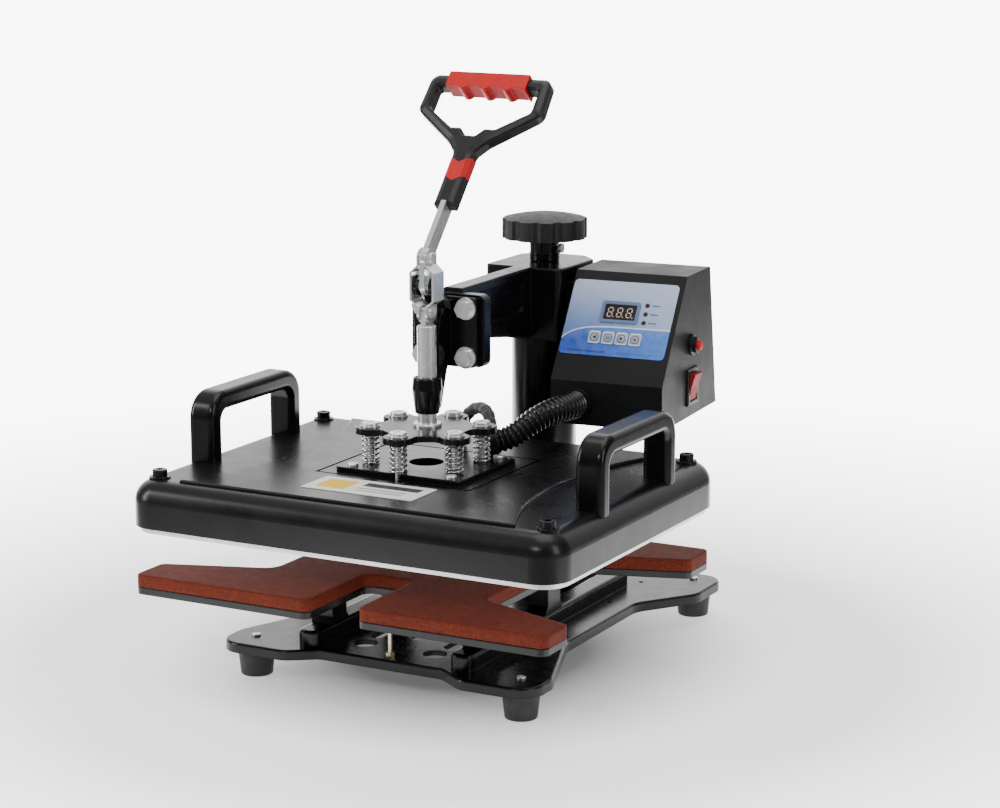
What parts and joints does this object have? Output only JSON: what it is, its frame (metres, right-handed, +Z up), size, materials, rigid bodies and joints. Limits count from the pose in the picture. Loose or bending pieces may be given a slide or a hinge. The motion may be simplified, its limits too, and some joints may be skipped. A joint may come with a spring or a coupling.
{
  "type": "heat press",
  "caption": "Swing-away toggle heat press with a covered upper platen, a four-wing padded lower platen, a swivelling arm on a column and a box with a sloped control panel",
  "frame": {"origin": "on the bench, under the middle of the overall width and depth", "axes": "+X to the operator's right, +Y to the back, +Z up"},
  "size_m": [0.386, 0.424, 0.4799],
  "materials": {
    "cast_black": "glossy black enamel over a casting",
    "tube_black": "glossy black paint",
    "foot_rubber": "moulded rubber",
    "zinc": "bright zinc plate",
    "link_steel": "zinc-plated pressed steel",
    "spring_steel": "plated spring wire",
    "brass_stud": "plated stud",
    "pad_silicone": "matt silicone foam",
    "cover_paint": "fine black powder coat",
    "plate_aluminium": "machined aluminium",
    "insulation": "ceramic fibre board",
    "element_steel": "oxidised sheath",
    "black_plate": "gloss black plate",
    "plate_print": "printed film",
    "handle_plastic": "satin black moulding",
    "red_plastic": "satin red moulding",
    "knob_plastic": "matt black moulding",
    "collar_steel": "blackened steel",
    "box_paint": "satin dark grey sheet",
    "panel_print": "printed film, blue",
    "display_dark": "dark display window",
    "led_red": "tinted lens",
    "key_red": "soft key",
    "key_blue": "soft key",
    "board_green": "circuit board",
    "switch_black": "moulded black",
    "conduit_plastic": "corrugated polyamide",
    "sleeve_glass": "black varnished sleeve"
  },
  "bodies": {
    "base": {"base_frame": "cast_black", "rubber_feet": "foot_rubber", "foot_screws": "zinc", "column": "tube_black", "column_bolts": "zinc", "platen_posts": "tube_black", "post_studs": "zinc", "lower_plate": "tube_black", "silicone_pad": "pad_silicone", "guide_stud": "brass_stud"},
    "carriage": {"swivel_bush": "tube_black"},
    "knob": {"hand_knob": "knob_plastic", "knob_collar": "collar_steel", "pressure_screw": "link_steel", "set_screw": "zinc"},
    "arm": {"swing_arm": "cast_black", "clamp_bracket": "black_plate", "clamp_bolts": "zinc", "pivot_pin": "zinc", "box_bracket": "tube_black", "box_shell": "box_paint", "box_back": "box_paint", "control_overlay": "panel_print", "display_window": "display_dark", "indicator_leds": "led_red", "circuit_board": "board_green", "switch_frame": "switch_black", "button_bezel": "switch_black", "conduit_gland": "conduit_plastic", "power_inlet": "switch_black"},
    "lever": {"lever_bar": "link_steel", "handle_frame": "handle_plastic", "handle_grip": "red_plastic", "handle_band": "red_plastic", "upper_rivet": "zinc"},
    "links": {"toggle_links": "link_steel"},
    "plunger": {"plunger_rod": "link_steel", "pressure_plate": "black_plate", "rod_collar": "zinc", "pressure_springs": "spring_steel"},
    "platen": {"platen_cover": "cover_paint", "heating_plate": "plate_aluminium", "insulation_sheet": "insulation", "heating_element": "element_steel", "mount_plate": "black_plate", "mount_screws": "zinc", "spring_bolts": "zinc", "cover_bolts": "zinc", "side_handles": "tube_black", "handle_screws": "zinc", "rating_plate": "plate_print", "wire_sleeve": "sleeve_glass", "conduit_socket": "conduit_plastic", "flexible_conduit": "conduit_plastic"},
    "rocker": {"rocker_paddle": "red_plastic"},
    "reset": {"reset_button": "red_plastic"},
    "key_1": {"panel_key_1": "key_blue"},
    "key_2": {"panel_key_2": "key_red"},
    "key_3": {"panel_key_3": "key_blue"},
    "key_4": {"panel_key_4": "key_blue"}
  },
  "joints": [
    {"name": "arm_height", "type": "slide", "parent": "base", "child": "carriage", "axis": [0, 0, 1], "range_m": [-0.004, 0.006]},
    {"name": "arm_swing", "type": "hinge", "parent": "carriage", "child": "arm", "pos_m": [0, 0.143, 0.28], "axis": [0, 0, 1], "continuous": true},
    {"name": "knob_turn", "type": "hinge", "parent": "carriage", "child": "knob", "pos_m": [0, 0.143, 0.34], "axis": [0, 0, 1], "range_deg": [-720, 1080]},
    {"name": "lever_pull", "type": "hinge", "parent": "arm", "child": "lever", "pos_m": [0, -0.062, 0.32], "axis": [1, 0, 0], "range_deg": [0, 133]},
    {"name": "links_swing", "type": "hinge", "parent": "lever", "child": "links", "pos_m": [0, -0.062, 0.3422], "axis": [1, 0, 0], "range_deg": [-112, 0]},
    {"name": "plunger_slide", "type": "slide", "parent": "arm", "child": "plunger", "axis": [0, 0, -1], "range_m": [0, 0.0334]},
    {"name": "platen_float", "type": "slide", "parent": "plunger", "child": "platen", "axis": [0, 0, 1], "range_m": [0, 0.006], "stiffness_N_per_m": 40000, "springref_m": -0.002, "deforming": ["pressure_springs"]},
    {"name": "rocker_switch", "type": "hinge", "parent": "arm", "child": "rocker", "pos_m": [0.14018, 0.14221, 0.215], "axis": [-0.0837, 0.9965, 0], "range_deg": [0, 20]},
    {"name": "reset_press", "type": "slide", "parent": "arm", "child": "reset", "axis": [-0.9965, -0.0837, 0], "range_m": [0, 0.0025], "stiffness_N_per_m": 500, "springref_m": -0.002},
    {"name": "key_1_press", "type": "slide", "parent": "arm", "child": "key_1", "axis": [-0.0685, 0.8157, -0.5744], "range_m": [0, 0.0006], "stiffness_N_per_m": 800, "springref_m": -0.0005},
    {"name": "key_2_press", "type": "slide", "parent": "arm", "child": "key_2", "axis": [-0.0685, 0.8157, -0.5744], "range_m": [0, 0.0006], "stiffness_N_per_m": 800, "springref_m": -0.0005},
    {"name": "key_3_press", "type": "slide", "parent": "arm", "child": "key_3", "axis": [-0.0685, 0.8157, -0.5744], "range_m": [0, 0.0006], "stiffness_N_per_m": 800, "springref_m": -0.0005},
    {"name": "key_4_press", "type": "slide", "parent": "arm", "child": "key_4", "axis": [-0.0685, 0.8157, -0.5744], "range_m": [0, 0.0006], "stiffness_N_per_m": 800, "springref_m": -0.0005}
  ],
  "couplings": [
    {"joint": "knob_turn", "follows": "arm_height", "rad_per_m": 3141.6},
    {"joint": "links_swing", "follows": "lever_pull", "ratio": -0.8375},
    {"joint": "plunger_slide", "follows": "lever_pull", "m_per_rad": 0.01435}
  ]
}
